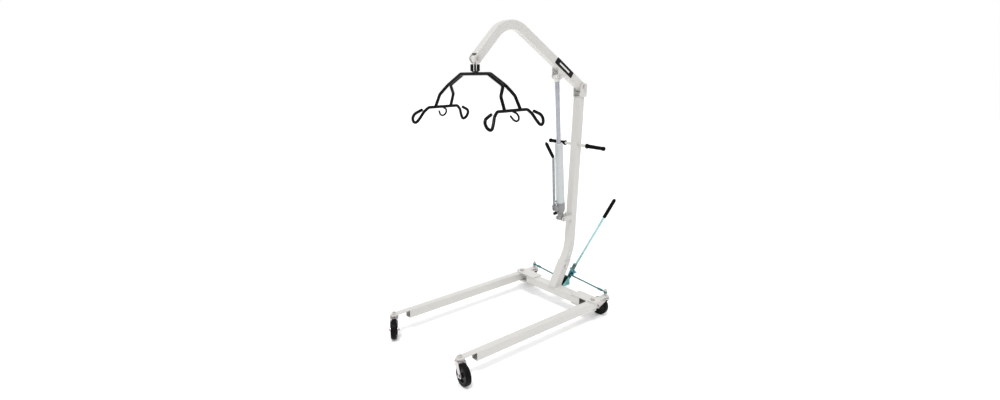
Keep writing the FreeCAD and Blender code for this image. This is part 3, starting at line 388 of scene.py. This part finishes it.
socket_half = 25.9
socket_front, socket_rear = 33.0, -28.0
socket_corners = [
    at(socket_front, -socket_half, bar_top), at(socket_front, socket_half, bar_top),
    at(socket_rear, socket_half, bar_top), at(socket_rear, -socket_half, bar_top),
]
for n, hand in enumerate(("front", "left", "rear", "right")):
    bead = spaced(socket_corners[n], socket_corners[(n + 1) % 4])
    piece_from(f"weld_socket_{hand}", bead_along(bead, radius=0.0022), "frame_paint", "base")

# Decals: thin vinyl with rounded corners, no lettering.
FILM_UNDERSIDE = 0.00003
FILM_TOP = 0.0002
CORNER_SHARE = 0.16
CORNER_STEPS = 4


def decal(name, corners, look, body, lift):
    """A thin four-cornered label lying on a flat face; lift is the face's outward normal."""
    outward = Vector(lift)

    def make(shape):
        outline = []
        count = len(corners)
        for n, corner in enumerate(corners):
            before = corners[(n - 1) % count]
            after = corners[(n + 1) % count]
            reach = CORNER_SHARE * min((before - corner).length, (after - corner).length)
            start = corner + (before - corner).normalized() * reach
            end = corner + (after - corner).normalized() * reach
            for k in range(CORNER_STEPS + 1):
                share = k / CORNER_STEPS
                first = start.lerp(corner, share)
                second = corner.lerp(end, share)
                outline.append(first.lerp(second, share))
        low = [shape.verts.new(spot + outward * FILM_UNDERSIDE) for spot in outline]
        high = [shape.verts.new(spot + outward * FILM_TOP) for spot in outline]
        shape.faces.new(high)
        shape.faces.new(low[::-1])
        for n in range(len(outline)):
            m = (n + 1) % len(outline)
            shape.faces.new((low[n], low[m], high[m], high[n]))

    piece = piece_from(name, make, look, body)
    for face in piece.data.polygons:
        face.use_smooth = False
    return piece


def vinyl(name, ground, band, direction):
    """Printed film: a plain ground with one soft-edged band and fine creases."""
    n = Nodes(name)
    wave = n.add("ShaderNodeTexWave", wave_type="BANDS", bands_direction=direction)
    wave.inputs["Scale"].default_value = 4.0
    wave.inputs["Distortion"].default_value = 0.4
    n.join(n.place, wave.inputs["Vector"])
    stripe = n.ramp(wave.outputs["Fac"], 0.0, 1.0, 0.8, 0.84)
    tone = n.mix(stripe, ground, band)
    aged = n.mix(n.ramp(n.noise(80.0, 5.0), 0.0, 0.25), tone, tuple(0.6 * c + 0.01 for c in ground))
    creased = n.bump(n.noise(60.0, 4.0), 0.0002, 0.4)
    gloss = n.ramp(n.noise(25.0, 4.0), 0.3, 0.45)
    return n.finish(Base_Color=aged, Roughness=gloss, Normal=creased, Specular_IOR_Level=0.12)


dark_film = vinyl("dark_film", (0.004, 0.004, 0.0045), (0.009, 0.009, 0.01), "X")
pale_film = vinyl("pale_film", (0.74, 0.74, 0.73), (0.62, 0.62, 0.61), "Z")

# Bright pins as painted highlights: they stand either side of the heading towards the camera, where
# the collar's shine falls, and the same again opposite.
PIN_RADIUS = 0.0019
PIN_CIRCLE = 0.0213
PIN_OFFSET = 16.0
HIGHLIGHT_HEADING = 51.5


def highlight_pins(centre, low, high):
    """Two pairs of bright pins round the cradle's collar, one pair each side: painted highlights that
    stand for the shine down the collar's sides.
    """

    def make(shape):
        for back in (0.0, 180.0):
            for offset in (-PIN_OFFSET, PIN_OFFSET):
                turn = math.radians(HIGHLIGHT_HEADING + back + offset)
                spot = centre + Vector((math.cos(turn), math.sin(turn), 0)) * PIN_CIRCLE
                place = Matrix.Translation((spot.x, spot.y, (low + high) / 2))
                bmesh.ops.create_cone(
                    shape, cap_ends=True, segments=16, radius1=PIN_RADIUS, radius2=PIN_RADIUS,
                    depth=high - low, matrix=place,
                )
                cap = Matrix.Translation((spot.x, spot.y, high))
                bmesh.ops.create_uvsphere(
                    shape, u_segments=12, v_segments=6, radius=PIN_RADIUS, matrix=cap
                )

    return make


# The collar's painted highlights, made as white pins.
collar_low, collar_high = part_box("cradle_hub")
collar_middle = (Vector(collar_low) + Vector(collar_high)) / 2
collar_highlight_maker = highlight_pins(collar_middle, collar_low[2] + 0.004, collar_high[2] + 0.0075)
piece_from("collar_highlight_pins", collar_highlight_maker, "white_plastic", "cradle")

# Corners of the labels, as x and z in millimetres, on the boom's sides and the mast's left side.
boom_label_corners = ((73, 1371), (49, 1399), (-74, 1316), (-53, 1288))
boom_line_corners = ((37.6, 1364.2), (32.6, 1371.6), (-40.2, 1322.8), (-35.2, 1315.4))
mast_label_corners = ((-88, 306), (-100, 306), (-88, 278), (-76, 278))
boom_side_y = 20.02
label_top_y = 20.22
mast_side_y = 21.87
for side, hand in ((1, "left"), (-1, "right")):
    film = [at(x, side * boom_side_y, z) for x, z in boom_label_corners]
    decal(f"boom_label_{hand}", film, dark_film, "boom", (0, side, 0))
    line = [at(x, side * label_top_y, z) for x, z in boom_line_corners]
    decal(f"boom_line_{hand}", line, pale_film, "boom", (0, side, 0))
mast_film = [at(x, mast_side_y, z) for x, z in mast_label_corners]
decal("mast_label", mast_film, pale_film, "base", (0, 1, 0))

# ---- camera, floor and light ----------------------------------------------------

scene = bpy.context.scene
camera_data = bpy.data.cameras.new("photo_camera")
camera_data.sensor_fit = "HORIZONTAL"
camera_data.sensor_width = 36.0
camera_data.lens = 20.29
camera_data.clip_end = 60.0
camera = bpy.data.objects.new("photo_camera", camera_data)
scene.collection.objects.link(camera)
camera_place = at(2225.9, 2077.0, 1420.6)
heading = math.radians(-130.95)
pitch = math.radians(-14.68)
roll = math.radians(0.18)
level = math.cos(pitch)
ahead = Vector((level * math.cos(heading), level * math.sin(heading), math.sin(pitch)))
look = ahead.to_track_quat("-Z", "Y").to_matrix().to_4x4()
tilt = Matrix.Rotation(roll, 4, "Z")
camera.matrix_world = Matrix.Translation(camera_place) @ look @ tilt
scene.camera = camera


def floor_look():
    """A matt white floor that glows a little, so that it stays white beside the walls."""
    n = Nodes("studio_floor")
    tone = n.mix(n.ramp(n.noise(1.2, 3.0), 0.0, 1.0), (0.94, 0.94, 0.94), (0.92, 0.92, 0.925))
    rough = n.ramp(n.noise(6.0, 3.0), 0.6, 0.7)
    return n.finish(
        Base_Color=tone, Roughness=rough, Emission_Color=(1, 1, 1, 1), Emission_Strength=0.14
    )


FLOOR_HALF_WIDTH = 14.0
FLOOR_DROP = 0.0005

floor_mesh = bpy.data.meshes.new("studio_floor")
floor_shape = bmesh.new()
bmesh.ops.create_grid(floor_shape, x_segments=8, y_segments=8, size=FLOOR_HALF_WIDTH)
floor_shape.to_mesh(floor_mesh)
floor_shape.free()
floor = bpy.data.objects.new("studio_floor", floor_mesh)
floor.location.z = -FLOOR_DROP
floor_mesh.materials.append(floor_look())
scene.collection.objects.link(floor)

# The studio is white all round, and falls to 0.6 of its strength on the side of the camera.
world = bpy.data.worlds.new("studio")
world.use_nodes = True
world_tree = world.node_tree
direction = world_tree.nodes.new("ShaderNodeTexCoord").outputs["Generated"]
towards_back = world_tree.nodes.new("ShaderNodeVectorMath")
towards_back.operation = "DOT_PRODUCT"
towards_back.inputs[1].default_value = (math.cos(heading), math.sin(heading), 0.0)
world_tree.links.new(direction, towards_back.inputs[0])
dimmer = world_tree.nodes.new("ShaderNodeMapRange")
for socket, setting in (("From Min", -0.7), ("From Max", 0.35), ("To Min", 0.6), ("To Max", 1.0)):
    dimmer.inputs[socket].default_value = setting
world_tree.links.new(towards_back.outputs["Value"], dimmer.inputs["Value"])
world_tree.links.new(dimmer.outputs["Result"], world_tree.nodes["Background"].inputs["Strength"])
world_tree.nodes["Background"].inputs["Color"].default_value = (1.0, 1.0, 1.0, 1.0)
scene.world = world
scene.view_settings.view_transform = "Standard"


def soft_light(name, place, target, strength, spread):
    """A distant lamp that shines from a place towards a target; spread is its angle in degrees."""
    data = bpy.data.lights.new(name, "SUN")
    data.energy = strength
    data.angle = math.radians(spread)
    lamp = bpy.data.objects.new(name, data)
    lamp.location = place
    lamp.rotation_euler = (Vector(target) - Vector(place)).to_track_quat("-Z", "Y").to_euler()
    scene.collection.objects.link(lamp)


soft_light("key", place=(1.3, 1.1, 4.0), target=(0.0, 0.0, 0.7), strength=1.45, spread=14.0)
